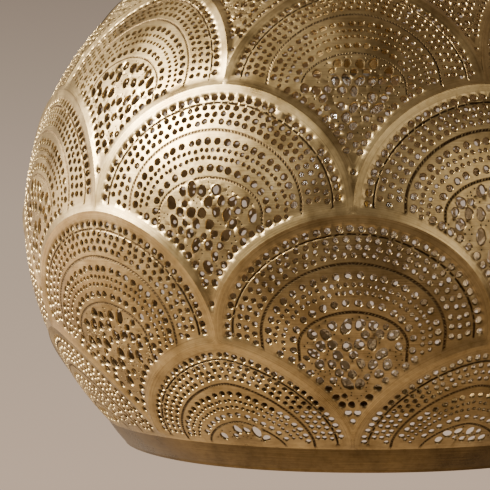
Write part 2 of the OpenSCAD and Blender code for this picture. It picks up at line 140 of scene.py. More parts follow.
class Tile:
    """One scale, laid out flat: u runs in half columns and v in rows from the middle of its feet."""

    def __init__(self, row, column):
        self.row = row
        self.lat = FIRST_ROW + row * ROW_PITCH
        self.lon = (column + 0.5 * ((row + 1) % 2)) * COLUMN_PITCH
        self.rng = np.random.default_rng(1000 * row + column + 7)
        self.power = LOW_ARCH_POWER if row == 0 else ARCH_POWER
        self.power_below = LOW_ARCH_POWER if row == 1 else ARCH_POWER
        self.v_low = max(-1.0, (RIM_LAT - self.lat) / ROW_PITCH)
        self.v_high = min(RIDGE_H, (NECK_LAT - self.lat) / ROW_PITCH)
        middle = math.radians(min(self.lat + 0.3 * ROW_PITCH, 72))
        self.size = min(1.0, max(0.62, (math.cos(middle) / math.cos(math.radians(-10))) ** 0.75))
        self.coarse = COARSE.get((row, column), self.rng.uniform(0.97, 1.08))

    def u_mm(self, v):
        """Millimetres in one half column at v."""
        lat = np.radians(np.clip(self.lat + np.asarray(v) * ROW_PITCH, -80, 80))
        return math.radians(COLUMN_PITCH / 2) * GLOBE_A * np.cos(lat) / MM

    def v_mm(self, v):
        """Millimetres in one row at v."""
        lat = np.radians(self.lat + np.asarray(v) * ROW_PITCH)
        return math.radians(ROW_PITCH) * np.hypot(GLOBE_A * np.sin(lat), GLOBE_B * np.cos(lat)) / MM

    def distance(self, points, line):
        """Millimetres from each point to the nearest part of a line of close points."""
        scale = np.stack([self.u_mm(points[:, 1]), self.v_mm(points[:, 1])], 1)[:, None]
        side = (line[1:] - line[:-1])[None] * scale
        gap = (points[:, None] - line[None, :-1]) * scale
        share = np.clip((gap * side).sum(2) / np.maximum((side * side).sum(2), 1e-9), 0, 1)
        return np.sqrt(((gap - share[:, :, None] * side) ** 2).sum(2).min(1))

    def length(self, line):
        """Running length of a line, in millimetres."""
        middle = 0.5 * (line[1:] + line[:-1])
        scale = np.stack([self.u_mm(middle[:, 1]), self.v_mm(middle[:, 1])], 1)
        steps = np.linalg.norm((line[1:] - line[:-1]) * scale, axis=1)
        return np.concatenate([[0], np.cumsum(steps)])

    def even(self, line, step, closed=False):
        """The same line with its points one step apart, in millimetres."""
        run = self.length(line)
        count = max(2, int(round(run[-1] / step)) + 1)
        at = np.linspace(0, run[-1], count)
        if closed:
            at = at[:-1]
        return np.stack([np.interp(at, run, line[:, 0]), np.interp(at, run, line[:, 1])], 1)

    def offset(self, line, out):
        """The line moved to its left by out millimetres."""
        ahead = np.gradient(line, axis=0)
        scale = np.stack([self.u_mm(line[:, 1]), self.v_mm(line[:, 1])], 1)
        ahead = ahead * scale
        ahead /= np.maximum(np.linalg.norm(ahead, axis=1), 1e-9)[:, None]
        return line + np.stack([-ahead[:, 1], ahead[:, 0]], 1) * out / scale


def arch(power, half_w, height, drop=0.0, legs=0.0, count=121):
    """A rounded arch from right to left; legs carry its ends on downwards."""
    turn = np.linspace(0, math.pi, count)
    c, s = np.cos(turn), np.sin(turn)
    u = half_w * np.sign(c) * np.abs(c) ** (2 / power)
    v = height * np.abs(s) ** (2 / power)
    line = np.stack([u, v + drop], 1)
    if legs:
        down = drop - legs * np.array([1.0, 0.66, 0.33])
        right = np.stack([half_w * np.array([0.985, 0.995, 1.0]), down], 1)
        line = np.concatenate([right, line, right[::-1] * np.array([-1.0, 1.0])])
    return line


def lower_ridge(tile):
    """The ridge under a scale's right side, from the foot of the scale up to the next scale's top."""
    line = arch(tile.power_below, 1.0, RIDGE_H) + np.array([1.0, -1.0])
    half = line[line[:, 0] <= 1.0 + 1e-9][::-1]
    return half


def mirrored(line):
    return line[::-1] * np.array([-1.0, 1.0])


def outline(tile):
    """Closed boundary of a scale on the ridges around it, anticlockwise, cut at the rim and the neck."""
    top = arch(tile.power, 1.0, RIDGE_H)
    right = lower_ridge(tile)
    loop = np.concatenate([right, top, mirrored(right)])
    fine = tile.even(np.concatenate([loop, loop[:1]]), 0.4, closed=True)
    fine[:, 1] = np.clip(fine[:, 1], tile.v_low, tile.v_high)
    return fine


def inside(points, loop):
    """Which points lie in a closed loop."""
    x, y = points[:, 0][:, None], points[:, 1][:, None]
    ax, ay = loop[:, 0][None], loop[:, 1][None]
    bx, by = np.roll(loop[:, 0], -1)[None], np.roll(loop[:, 1], -1)[None]
    cross = (ay > y) != (by > y)
    with np.errstate(divide="ignore", invalid="ignore"):
        hit = x < (bx - ax) * (y - ay) / (by - ay) + ax
    return (cross & hit).sum(1) % 2 == 1


# ---------------------------------------------------------------- the pattern of one scale

class Pattern:
    """Holes, chased lines and punch dots of one scale."""

    def __init__(self, tile):
        self.tile = tile
        self.holes = []           # centre u, v, reach in mm, lip in mm, rim radii in mm by angle
        self.spots = []           # u, v, reach with lip of the same holes
        self.reaches = []         # the same reach in each of 16 directions
        self.lines = []           # fine line, half width mm, depth mm, bead pitch mm (0 for plain)
        self.dots = []            # u, v, radius mm
        self.ridge_below = [lower_ridge(tile), mirrored(lower_ridge(tile))]
        self.ridge_above = arch(tile.power, 1.0, RIDGE_H)
        self.loop = outline(tile)[::3]

    def room(self, point, reach, margin_below=FIELD_MARGIN):
        """True if a point lies in the scale, clear of its ridges, the rim and the neck."""
        tile = self.tile
        lat = tile.lat + point[1] * ROW_PITCH
        if lat < RIM_LAT + 1.4 + 0.38 * reach or lat > NECK_LAT - 2.2:
            return False
        here = np.array([point])
        if not inside(here, self.loop)[0]:
            return False
        if min(tile.distance(here, line)[0] for line in self.ridge_below) < margin_below * tile.size:
            return False
        return tile.distance(here, self.ridge_above)[0] >= RIDGE_GAP * tile.size

    def clear(self, point, reaches, gap):
        """True if a hole of the given reach in 16 directions stays clear of every other hole."""
        if not self.spots:
            return True
        scale = np.array([float(self.tile.u_mm(point[1])), float(self.tile.v_mm(point[1]))])
        spots = np.array(self.spots)
        away = (spots[:, :2] - point) * scale
        near = np.hypot(away[:, 0], away[:, 1])
        close = near < reaches.max() + spots[:, 2] + gap
        if not close.any():
            return True
        way = np.round(np.arctan2(away[close, 1], away[close, 0]) * 8 / math.pi).astype(int) % 16
        others = np.array(self.reaches)[close]
        need = reaches[way] + others[np.arange(len(way)), (way + 8) % 16] + gap
        return bool((near[close] > need).all())

    def drill(self, point, radii, lip, gap=0.12):
        """Keeps a hole if it stays clear of the others, and says whether it did."""
        angle = np.arange(16) * math.pi / 8
        sides = np.arange(len(radii) + 1) * 2 * math.pi / len(radii)
        reaches = np.interp(angle, sides, np.append(radii, radii[0])) + lip
        reaches = np.maximum(reaches, 0.5 * (np.roll(reaches, 1) + np.roll(reaches, -1)))
        if not self.clear(point, reaches, gap):
            return False
        reach = float(radii.max())
        self.holes.append((point[0], point[1], reach, lip, radii))
        self.spots.append((point[0], point[1], reach + lip))
        self.reaches.append(reaches)
        return True

    def round_hole(self, radius, sides=12):
        """Radii of a drilled hole: nearly round, as a hand punch leaves it."""
        rng = self.tile.rng
        angle = np.arange(sides) * 2 * math.pi / sides
        oval = 1 + rng.uniform(0.0, 0.09) * np.cos(2 * (angle - rng.uniform(0, math.pi)))
        return radius * rng.uniform(0.93, 1.08) * oval * rng.uniform(0.98, 1.02, sides)

    def filed_hole(self, radius, stretch, lean, sides=16):
        """Radii of a filed hole: an uneven oval stretched along lean."""
        rng = self.tile.rng
        angle = np.arange(sides) * 2 * math.pi / sides
        long_r, short_r = radius * stretch, radius
        c, s = np.cos(angle - lean), np.sin(angle - lean)
        oval = long_r * short_r / np.hypot(short_r * c, long_r * s)
        three_sided = 0.05 * np.cos(3 * angle + rng.uniform(0, 6.3))
        four_sided = 0.03 * np.cos(4 * angle + rng.uniform(0, 6.3))
        return oval * (1 + (three_sided + four_sided))

    def row_of_holes(self, line, kind, margin=None):
        """Holes one step apart along a line, each a little off its mark, as a hand sets them."""
        tile = self.tile
        step = HOLE_STEP[kind] * tile.size * tile.coarse
        start = tile.rng.uniform(0, 0.3) * step
        run = tile.length(line)
        spots = np.arange(start, run[-1], step)
        for spot in spots + tile.rng.normal(0, 0.05 * step, len(spots)):
            point = np.array([np.interp(spot, run, line[:, 0]), np.interp(spot, run, line[:, 1])])
            point += tile.rng.normal(0, 0.13, 2) / np.array([float(tile.u_mm(point[1])), ROW_MM])
            if not self.room(point, HOLE_R[kind] * tile.size, margin or FIELD_MARGIN):
                continue
            radii = self.round_hole(HOLE_R[kind] * tile.size)
            if not self.drill(point, radii, LIP[kind] * tile.size):
                self.drill(point, 0.86 * radii, 0.8 * LIP[kind] * tile.size)

    def foot_rows(self):
        """Holes down both sides of the foot, to a single hole at its tip."""
        tile = self.tile
        ridge = self.ridge_below[0]
        out = np.interp(ridge[:, 1], [-0.80, -0.35], [3.0, FOOT_MARGIN]) * tile.size
        line = tile.offset(ridge, out[:, None])
        line = line[(line[:, 0] > 0.03) & (line[:, 0] < 0.55) & (line[:, 1] > -0.76)]
        tip = np.array([0.0, -0.765])
        if self.room(tip, 1.0, margin_below=2.0):
            self.drill(tip, self.round_hole(1.12 * tile.size), 0.4 * tile.size)
        for side in (line, mirrored(line)[::-1]):
            if len(side) > 2:
                self.row_of_holes(side, "foot", margin=2.8)

    def fan(self):
        """Uneven filed holes that fill the middle of the scale, with punch dots between them."""
        tile, rng = self.tile, self.tile.rng
        top = arch(tile.power, OUTLINE_W * FAN_SHARE, OUTLINE_H * 0.315, FAN_DROP)
        step = FAN_STEP * tile.size
        rows = np.arange(0.17, -0.72, -step * 0.84 / ROW_MM)
        for i, v in enumerate(rows):
            across = step / float(tile.u_mm(v))
            for u in (np.arange(-9, 10) + 0.5 * (i % 2)) * across:
                point = np.array([u, v]) + rng.normal(0, 0.07, 2) * step / ROW_MM
                self.fan_hole(point, top, full_size=True)
        for _ in range(FILL_TRIES):
            point = np.array([rng.uniform(-0.45, 0.45), rng.uniform(-0.74, 0.2)])
            self.fan_hole(point, top, full_size=False)
        for _ in range(PUNCH_TRIES):
            point = np.array([rng.uniform(-0.43, 0.43), rng.uniform(-0.62, 0.22)])
            if self.clear(point, np.full(16, 0.56), 0.06) and self.apart(point, 1.25):
                if self.in_fan(point, top, 0.8) and self.room(point, 0.5, margin_below=6.0):
                    self.dots.append((point[0], point[1], rng.uniform(0.36, 0.5)))

    def apart(self, point, least):
        return all(math.hypot(u - point[0], v - point[1]) * DOT_MM > least for u, v, _ in self.dots)

    def in_fan(self, point, top, margin):
        """True under the fan's arch, by a margin, or in the foot below it."""
        if abs(point[0]) > OUTLINE_W * FAN_SHARE:
            return False
        if point[1] < FAN_DROP:
            return True
        if not inside(np.array([point]), np.concatenate([top, [[0, -0.6]]]))[0]:
            return False
        return self.tile.distance(np.array([point]), top)[0] > margin

    def fan_hole(self, point, top, full_size):
        """A filed hole that leans towards the tip of the foot, made smaller if it doesn't fit."""
        tile, rng = self.tile, self.tile.rng
        radius = rng.uniform(1.65, 1.98) * tile.size * (1.0 if full_size else 0.72)
        lip = LIP["fan"] * tile.size * (1.0 if full_size else 0.7)
        if not self.in_fan(point, top, radius + 0.7) or not self.room(point, radius, FOOT_MARGIN + 1.6):
            return
        to_tip = math.atan2((-0.75 - point[1]) * ROW_MM, -point[0] * HALF_MM)
        stretch = rng.choice([1.1, 1.3, 1.5, 1.9], p=[0.22, 0.34, 0.30, 0.14])
        lean = to_tip + rng.normal(0, 0.35)
        for shrink in (1.0, 0.9, 0.8):
            radii = self.filed_hole(radius * shrink, 1 + (stretch - 1) * shrink, lean)
            if self.drill(point, radii, lip, gap=0.18):
                return

    def draw(self):
        tile = self.tile
        self.foot_rows()
        for kind, wide, high, drop in RINGS:
            line = arch(tile.power, OUTLINE_W * wide, OUTLINE_H * high, drop, legs=0.32)
            if kind in HOLE_R:
                self.row_of_holes(line, kind)
            else:
                self.lines.append((line, *CHASED[kind]))
        self.fan()
        return self


# ---------------------------------------------------------------- relief and mesh of one scale

def waves(points, seed, scale):
    """Slow uneven waves over the sheet, between about -1 and 1."""
    rng = np.random.default_rng(seed)
    total = np.zeros(len(points))
    for i in range(7):
        turn = rng.uniform(0, 2 * math.pi, 2)
        way = np.array([math.cos(turn[0]) * math.sin(turn[1]), math.sin(turn[0]) * math.sin(turn[1]),
                        math.cos(turn[1])])
        total += np.sin(points @ way / scale * (1 + 0.35 * i) + rng.uniform(0, 6.3)) / (1 + 0.35 * i)
    return total / 3.0


class Sheet:
    """Builds the mesh of one scale from its pattern."""

    def __init__(self, pattern):
        self.pattern = pattern
        self.tile = pattern.tile
        self.flat = []            # u, v of every point of the triangulation
        self.sink = []            # how far the point is sunk by a tool, in mm
        self.age = []             # 0 is polished, 1 and more is dark

    def add(self, points, sink=0.0, age=0.25):
        first = len(self.flat)
        count = len(points)
        self.flat.extend([tuple(p) for p in points])
        self.sink.extend(np.broadcast_to(sink, count).tolist())
        self.age.extend(np.broadcast_to(age, count).tolist())
        return first

    def free_of_holes(self, points, gap):
        """Which points stay clear of every drilled hole and its lip."""
        if not self.pattern.holes:
            return np.ones(len(points), bool)
        spots = np.array(self.pattern.spots)
        scale = np.stack([self.tile.u_mm(points[:, 1]), self.tile.v_mm(points[:, 1])], 1)[:, None]
        away = np.linalg.norm((points[:, None] - spots[None, :, :2]) * scale, axis=2)
        return (away > spots[None, :, 2] + gap).all(1)

    def relief(self, flat, lon, lat):
        """Height of the worked sheet in metres: ridges around the scale and slow hand-made waves."""
        pattern, tile = self.pattern, self.tile
        lines = pattern.ridge_below + [pattern.ridge_above, UPRIGHT, mirrored(UPRIGHT)]
        near = np.min([tile.distance(flat, line) for line in lines], axis=0)
        reach = RIDGE_REACH * tile.size
        rise = RIDGE_RISE * tile.size * np.clip(1 - near / reach, 0, 1) ** 1.1
        ends = np.clip((lat - RIM_LAT) / 1.6, 0, 1) * np.clip((NECK_LAT - 1.2 - lat) / 1.5, 0, 1)
        base = globe_points(lon, lat, np.zeros(len(lon)))
        slow = waves(base, 3, 0.011) * 0.10 * MM + waves(base, 5, 0.0035) * 0.035 * MM
        return (rise + slow) * ends, near

    def build(self):
        tile, pattern = self.tile, self.pattern
        loop_fine = outline(tile)
        loop = symmetric_loop(tile)
        self.add(loop, age=0.1)
        edges = [(i, (i + 1) % len(loop)) for i in range(len(loop))]

        for u, v, _, lip, radii in pattern.holes:
            angle = np.arange(len(radii)) * 2 * math.pi / len(radii)
            u_mm, v_mm = float(tile.u_mm(v)), float(tile.v_mm(v))
            ring = np.stack([u + (radii + lip) * np.cos(angle) / u_mm,
                             v + (radii + lip) * np.sin(angle) / v_mm], 1)
            burr = 0.14 if len(radii) > 12 else 0.02
            first = self.add(ring, sink=-tile.rng.uniform(0, burr, len(radii)), age=0.25)
            edges += [(first + i, first + (i + 1) % len(radii)) for i in range(len(radii))]

        self.add_lines(loop_fine)
        self.add_dots()
        self.add_ridge_rows(loop_fine)
        return self.mesh(edges, len(loop))

    def add_lines(self, loop_fine):
        """Chased grooves of five rows of points, the middle one sunk, and beaded if it has a pitch."""
        tile = self.tile
        for line, half_w, depth, bead in self.pattern.lines:
            step = bead / 2 if bead else 1.6
            even = tile.even(line, step * max(tile.size, 0.75))
            wobble = tile.rng.normal(0, 0.05)
            side = half_w + LINE_FLANK
            edge_dark = 0.8 if bead else 0.7
            for out, level, dark in ((-side, 0.0, 0.25), (-half_w, 0.0, edge_dark), (0.0, 1.0, 1.25),
                                     (half_w, 0.0, edge_dark), (side, 0.0, 0.25)):
                row = tile.offset(even, (out + wobble) * tile.size)
                sink = np.full(len(row), depth * level)
                age = np.full(len(row), dark)
                if bead and level:
                    raised = np.arange(len(row)) % 2 == 1
                    sink = np.where(raised, 0.1 * sink, sink)
                    age = np.where(raised, tile.rng.uniform(0.3, 0.9, len(row)), age)
                keep = self.free_of_holes(row, 0.12)
                keep &= inside(row, loop_fine)
                for ridge in self.pattern.ridge_below:
                    keep &= tile.distance(row, ridge) > LINE_GAP * tile.size
                keep &= row[:, 1] > tile.v_low + 0.035
                keep &= row[:, 1] < tile.v_high - 0.04
                self.add(row[keep], sink=sink[keep], age=age[keep])

    def add_dots(self):
        """Punch dots: a ring of points round a sunk one."""
        tile = self.tile
        for u, v, radius in self.pattern.dots:
            angle = np.arange(6) * math.pi / 3
            u_mm, v_mm = float(tile.u_mm(v)), float(tile.v_mm(v))
            ring = np.stack([u + radius * np.cos(angle) / u_mm, v + radius * np.sin(angle) / v_mm], 1)
            self.add(ring, age=0.4)
            self.add(np.array([[u, v]]), sink=0.5, age=1.4)

    def add_ridge_rows(self, loop_fine):
        """Rows of points beside each ridge, so that its slopes are real."""
        tile = self.tile
        lines = [self.pattern.ridge_above] + self.pattern.ridge_below
        taken = np.zeros((0, 2))
        for out in (0.55, 1.5, 2.7, 4.0):
            for line in lines:
                row = tile.offset(tile.even(line, 2.2), out * tile.size)
                keep = inside(row, loop_fine) & self.free_of_holes(row, 0.3)
                for other in lines:
                    keep &= tile.distance(row, other) > 0.8 * out * tile.size
                keep &= (row[:, 1] > tile.v_low + 0.02) & (row[:, 1] < tile.v_high - 0.02)
                row = row[keep]
                if len(taken) and len(row):
                    gap = np.linalg.norm((row[:, None] - taken[None]) * RIDGE_ROW_MM, axis=2).min(1)
                    row = row[gap > 0.5]
                self.add(row, age=0.12 + 0.05 * out)
                taken = np.concatenate([taken, row])

    def mesh(self, edges, loop_count):
        """Triangulates the sheet round its holes, and drops what lies in a hole or outside."""
        tile, pattern = self.tile, self.pattern
        flat = np.array(self.flat)
        scale = np.array([float(tile.u_mm(0.0)), float(tile.v_mm(0.0))])
        plane = [Vector(p) for p in (flat * scale).tolist()]
        out = delaunay_2d_cdt(plane, edges, [], 0, 1e-5, True)
        source = np.array([ids[0] if ids else -1 for ids in out[3]])
        triangles = np.array([f for f in out[2] if len(f) == 3])
        triangles = source[triangles]
        triangles = triangles[(triangles >= 0).all(1)]

        owner = np.full(len(flat), -1)
        first = loop_count
        for number, hole in enumerate(pattern.holes):
            owner[first:first + len(hole[4])] = number
            first += len(hole[4])
        own = owner[triangles]
        in_hole = (own[:, 0] >= 0) & (own[:, 0] == own[:, 1]) & (own[:, 1] == own[:, 2])
        triangles = triangles[~in_hole]
        centres = flat[triangles].mean(1)
        triangles = triangles[inside(centres, flat[:loop_count])]
        a, b, c = (flat[triangles[:, i]] for i in range(3))
        area = (b[:, 0] - a[:, 0]) * (c[:, 1] - a[:, 1]) - (b[:, 1] - a[:, 1]) * (c[:, 0] - a[:, 0])
        triangles = np.where((area > 0)[:, None], triangles, triangles[:, ::-1])
        triangles = triangles[np.abs(area) > 1e-9]
        return self.thicken(flat, triangles, loop_count)

    def thicken(self, flat, triangles, loop_count):
        """Wraps the sheet on the globe, with an inner face, a sloping lip and a wall at each hole."""
        tile, pattern = self.tile, self.pattern
        lon = tile.lon + flat[:, 0] * COLUMN_PITCH / 2
        lat = tile.lat + flat[:, 1] * ROW_PITCH
        height, near = self.relief(flat, lon, lat)
        sink = np.array(self.sink) * MM
        count = len(flat)
        points = [globe_points(lon, lat, height - sink), globe_points(lon, lat, height - SHEET)]
        marks = [self.marks(self.age, 0.0, near), self.marks(0.3, 1.0, near)]
        faces = [triangles, triangles[:, ::-1] + count]
        total = 2 * count
        first = loop_count
        for u, v, _, lip, radii in pattern.holes:
            n = len(radii)
            angle = np.arange(n) * 2 * math.pi / n
            ring_lon = tile.lon + (u + radii * np.cos(angle) / float(tile.u_mm(v))) * COLUMN_PITCH / 2
            ring_lat = tile.lat + (v + radii * np.sin(angle) / float(tile.v_mm(v))) * ROW_PITCH
            level = height[first:first + n]
            points += [globe_points(ring_lon, ring_lat, level - LIP_SLOPE * lip * MM),
                       globe_points(ring_lon, ring_lat, level - SHEET)]
            beside = near[first:first + n]
            marks += [self.marks(0.4, 0.0, beside), self.marks(0.6, 1.0, beside)]
            here, after = np.arange(n), (np.arange(n) + 1) % n
            rings = [first + here, total + here, total + n + here, first + count + here]
            nexts = [first + after, total + after, total + n + after, first + count + after]
            for a, b, a_next, b_next in zip(rings[:-1], rings[1:], nexts[:-1], nexts[1:]):
                faces += [np.stack([a, b_next, b], 1), np.stack([a, a_next, b_next], 1)]
            total += 2 * n
            first += n
        faces += self.cut_edges(flat, loop_count, count)
        return np.concatenate(points), np.concatenate(faces), np.concatenate(marks)

    @staticmethod
    def marks(age, inner, near):
        """What the brass shader reads at each point: age, inner face, distance to the ridge in mm."""
        count = len(near)
        return np.stack([np.broadcast_to(age, count), np.full(count, inner), near], 1)

    def cut_edges(self, flat, loop_count, count):
        """Closes the thickness of the sheet along the rim and the neck."""
        tile = self.tile
        faces = []
        for i in range(loop_count):
            j = (i + 1) % loop_count
            for level in (tile.v_low, tile.v_high):
                on_cut = abs(flat[i, 1] - level) < 1e-6 and abs(flat[j, 1] - level) < 1e-6
                if on_cut and -0.999 < level < RIDGE_H - 0.001:
                    faces += [np.array([[i, i + count, j + count]]), np.array([[i, j + count, j]])]
        return faces


def symmetric_loop(tile):
    """Boundary points spaced so that neighbouring scales share them: the same arcs are cut the same way."""
    top = arch(tile.power, 1.0, RIDGE_H)
    right = lower_ridge(tile)
    top_half = shared_points(top[: len(top) // 2 + 1])
    right_side = shared_points(right[::-1])[::-1]
    pieces = [right_side[:-1], UPRIGHT[:1], top_half, mirrored(top_half)[1:-1], mirrored(UPRIGHT),
              mirrored(right_side)[1:-1]]
    loop = np.concatenate(pieces)
    return cut_loop(loop, tile.v_low, tile.v_high)


def shared_points(line):
    """Cuts an arc, given from its foot up, into equal shares; both scales beside it get the same points."""
    run = np.concatenate([[0], np.cumsum(np.linalg.norm(np.diff(line, axis=0), axis=1))])
    count = int(round(run[-1] * HALF_MM / BOUNDARY_STEP))
    at = np.linspace(0, run[-1], count + 1)
    return np.stack([np.interp(at, run, line[:, 0]), np.interp(at, run, line[:, 1])], 1)


def cut_loop(loop, low, high):
    """Clips a loop between two levels, and spaces new points along each cut."""
    kept = []
    count = len(loop)
    for i in range(count):
        a, b = loop[i], loop[(i + 1) % count]
        if low - 1e-9 <= a[1] <= high + 1e-9:
            kept.append(a)
        for level in (low, high):
            if (a[1] - level) * (b[1] - level) < -1e-12:
                share = (level - a[1]) / (b[1] - a[1])
                kept.append(np.array([a[0] + (b[0] - a[0]) * share, level]))
    kept = np.array(kept)
    full = []
    for i in range(len(kept)):
        a, b = kept[i], kept[(i + 1) % len(kept)]
        full.append(a)
        flat_cut = abs(a[1] - b[1]) < 1e-9 and (abs(a[1] - low) < 1e-9 or abs(a[1] - high) < 1e-9)
        if flat_cut and np.linalg.norm(b - a) > 0.06:
            parts = int(np.linalg.norm(b - a) / 0.035)
            for k in range(1, parts):
                full.append(a + (b - a) * k / parts)
    return np.array(full)


# ---------------------------------------------------------------- making objects

def new_mesh(name, points, faces, marks=None, sharp=48):
    mesh = bpy.data.meshes.new(name)
    faces = np.asarray(faces, np.int32)
    corners = faces.shape[1]
    mesh.vertices.add(len(points))
    mesh.vertices.foreach_set("co", np.asarray(points, np.float32).ravel())
    mesh.loops.add(faces.size)
    mesh.loops.foreach_set("vertex_index", faces.ravel())
    mesh.polygons.add(len(faces))
    mesh.polygons.foreach_set("loop_start", np.arange(len(faces), dtype=np.int32) * corners)
    mesh.polygons.foreach_set("loop_total", np.full(len(faces), corners, np.int32))
    if marks is not None:
        for column, label in enumerate(("age", "inner", "ridge")):
            layer = mesh.attributes.new(label, "FLOAT", "POINT")
            layer.data.foreach_set("value", np.ascontiguousarray(marks[:, column], np.float32))
    mesh.update(calc_edges=True)
    mesh.validate()
    mesh.polygons.foreach_set("use_smooth", np.ones(len(mesh.polygons), bool))
    mesh.set_sharp_from_angle(angle=math.radians(sharp))
    obj = bpy.data.objects.new(name, mesh)
    bpy.context.scene.collection.objects.link(obj)
    return obj


def dress(obj, body, material, slot, *nodes):
    """Material, body and the CAD nodes that the piece stands for."""
    obj.data.materials.clear()
    obj.data.materials.append(material)
    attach(obj, body)
    if nodes:
        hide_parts(*nodes)
    return obj


# ---------------------------------------------------------------- materials

class Shader:
    """Small helper to wire a procedural material."""

    def __init__(self, name):
        self.material = bpy.data.materials.new(name)
        self.material.use_nodes = True
        self.tree = self.material.node_tree
        self.tree.nodes.clear()
        self.output = self.tree.nodes.new("ShaderNodeOutputMaterial")
        self.bsdf = self.tree.nodes.new("ShaderNodeBsdfPrincipled")
        self.link(self.bsdf, "BSDF", self.output, "Surface")

    def node(self, kind, **values):
        node = self.tree.nodes.new(kind)
        for key, value in values.items():
            if hasattr(node, key):
                setattr(node, key, value)
            else:
                node.inputs[key.replace("_", " ")].default_value = value
        return node

    def link(self, source, output, target, socket):
        self.tree.links.new(source.outputs[output], target.inputs[socket])

    def object_point(self):
        return self.node("ShaderNodeTexCoord"), "Object"

    def noise(self, scale, detail=4.0, rough=0.55, source=None):
        node = self.node("ShaderNodeTexNoise", Scale=scale, Detail=detail, Roughness=rough)
        source = source or self.object_point()
        self.link(source[0], source[1], node, "Vector")
        return node, "Fac"

    def ramp(self, source, stops):
        node = self.node("ShaderNodeValToRGB")
        ramp = node.color_ramp
        while len(ramp.elements) > 1:
            ramp.elements.remove(ramp.elements[0])
        ramp.elements[0].position = stops[0][0]
        ramp.elements[0].color = stops[0][1]
        for position, colour in stops[1:]:
            ramp.elements.new(position).color = colour
        self.link(source[0], source[1], node, "Fac")
        return node, "Color"

    def mix(self, kind, factor, first, second):
        node = self.node("ShaderNodeMix")
        node.data_type = "RGBA"
        node.blend_type = kind
        self.feed(node.inputs[0], factor)
        self.feed(node.inputs[6], first)
        self.feed(node.inputs[7], second)
        return node, 2

    def math(self, operation, first, second=0.0, third=0.0, clamp=False):
        node = self.node("ShaderNodeMath")
        node.operation = operation
        node.use_clamp = clamp
        for socket, value in zip(node.inputs, (first, second, third)):
            self.feed(socket, value)
        return node, "Value"

    def feed(self, socket, value):
        if isinstance(value, tuple) and hasattr(value[0], "outputs"):
            self.tree.links.new(value[0].outputs[value[1]], socket)
        else:
            socket.default_value = value

    def around(self, turns, rise):
        """Coordinates that run round the lantern's axis, so that noise draws brush lines round it."""
        where = self.object_point()
        split = self.node("ShaderNodeSeparateXYZ")
        self.link(where[0], where[1], split, "Vector")
        angle = self.math("ARCTAN2", (split, "Y"), (split, "X"))
        join = self.node("ShaderNodeCombineXYZ")
        self.feed(join.inputs["X"], self.math("MULTIPLY", angle, turns))
        self.feed(join.inputs["Z"], self.math("MULTIPLY", (split, "Z"), rise))
        return join, "Vector"

    def attribute(self, label):
        node = self.node("ShaderNodeAttribute")
        node.attribute_name = label
        return node, "Fac"

    def along(self, ridge):
        """Coordinates that change fast away from a ridge and slowly along it."""
        where = self.object_point()
        slow = self.node("ShaderNodeVectorMath")
        slow.operation = "SCALE"
        slow.inputs["Scale"].default_value = 22.0
        self.link(where[0], where[1], slow, "Vector")
        fast = self.node("ShaderNodeCombineXYZ")
        self.feed(fast.inputs["X"], self.math("MULTIPLY", ridge, 2.4))
        total = self.node("ShaderNodeVectorMath")
        total.operation = "ADD"
        self.link(slow, "Vector", total, 0)
        self.link(fast, "Vector", total, 1)
        return total, "Vector"

    def bump(self, source, strength, distance):
        node = self.node("ShaderNodeBump", Strength=strength, Distance=distance)
        self.link(source[0], source[1], node, "Height")
        self.link(node, "Normal", self.bsdf, "Normal")

    def set(self, **values):
        for key, value in values.items():
            self.feed(self.bsdf.inputs[key.replace("_", " ")], value)
        return self.material


def rgb(red, green, blue):
    return (red, green, blue, 1.0)


def aged_brass(name, light, dark, brush_turns=6.0, brush_rise=2600.0, worked=False, rough=0.24):
    """Brushed brass with brown patina; worked brass also follows the ridges and hollows of the piercing,
    and darkens its inner face, partly as painted shade.
    """
    s = Shader(name)
    cloud = s.noise(38.0, 5.0, 0.6)
    grain = s.noise(420.0, 3.0, 0.6)
    brush = s.noise(1.0, 3.0, 0.7, s.around(brush_turns, brush_rise))
    if worked:
        ridge = s.attribute("ridge")
        along = s.noise(1.0, 4.0, 0.7, s.along(ridge))
        open_field = s.math("MULTIPLY_ADD", ridge, 0.25, -0.9, clamp=True)
        brush = s.mix("MIX", open_field, along, brush)
    tone = s.ramp(cloud, [(0.30, rgb(*dark)), (0.52, rgb(*[0.5 * (a + b) for a, b in zip(light, dark)])),
                          (0.74, rgb(*light))])
    streak = s.ramp(brush, [(0.28, rgb(0.50, 0.44, 0.35)), (0.50, rgb(0.95, 0.93, 0.90)),
                            (0.72, rgb(1.22, 1.20, 1.12))])
    colour = s.mix("MULTIPLY", 0.8, tone, streak)
    speck = s.ramp(grain, [(0.30, rgb(0.62, 0.55, 0.42)), (0.55, rgb(1.0, 1.0, 1.0))])
    colour = s.mix("MULTIPLY", 0.45, colour, speck)
    gloss = s.math("MULTIPLY_ADD", cloud, 0.22, rough - 0.10)
    gloss = s.math("ADD", gloss, s.math("MULTIPLY", brush, 0.10))
    if worked:
        dirt = s.math("MULTIPLY", s.attribute("age"), s.math("ADD", cloud, 0.45))
        dirt = s.ramp(dirt, [(0.12, rgb(0, 0, 0)), (0.85, rgb(1, 1, 1))])
        colour = s.mix("MIX", dirt, colour, rgb(0.050, 0.030, 0.013))
        gloss = s.math("ADD", gloss, s.math("MULTIPLY", dirt, 0.25))
        # Inner face and lower hole walls: duller raw brass, and also painted shade that darkens the inside
        # of the globe seen through the holes.
        inner = s.attribute("inner")
        colour = s.mix("MIX", inner, colour, rgb(0.38, 0.29, 0.175))
        gloss = s.math("ADD", gloss, s.math("MULTIPLY", inner, 0.30))
    height = s.math("ADD", s.math("MULTIPLY", brush, 0.6), s.math("MULTIPLY", grain, 0.5))
    s.bump(height, 0.35, 0.00012)
    return s.set(Base_Color=colour, Metallic=1.0, Roughness=gloss)


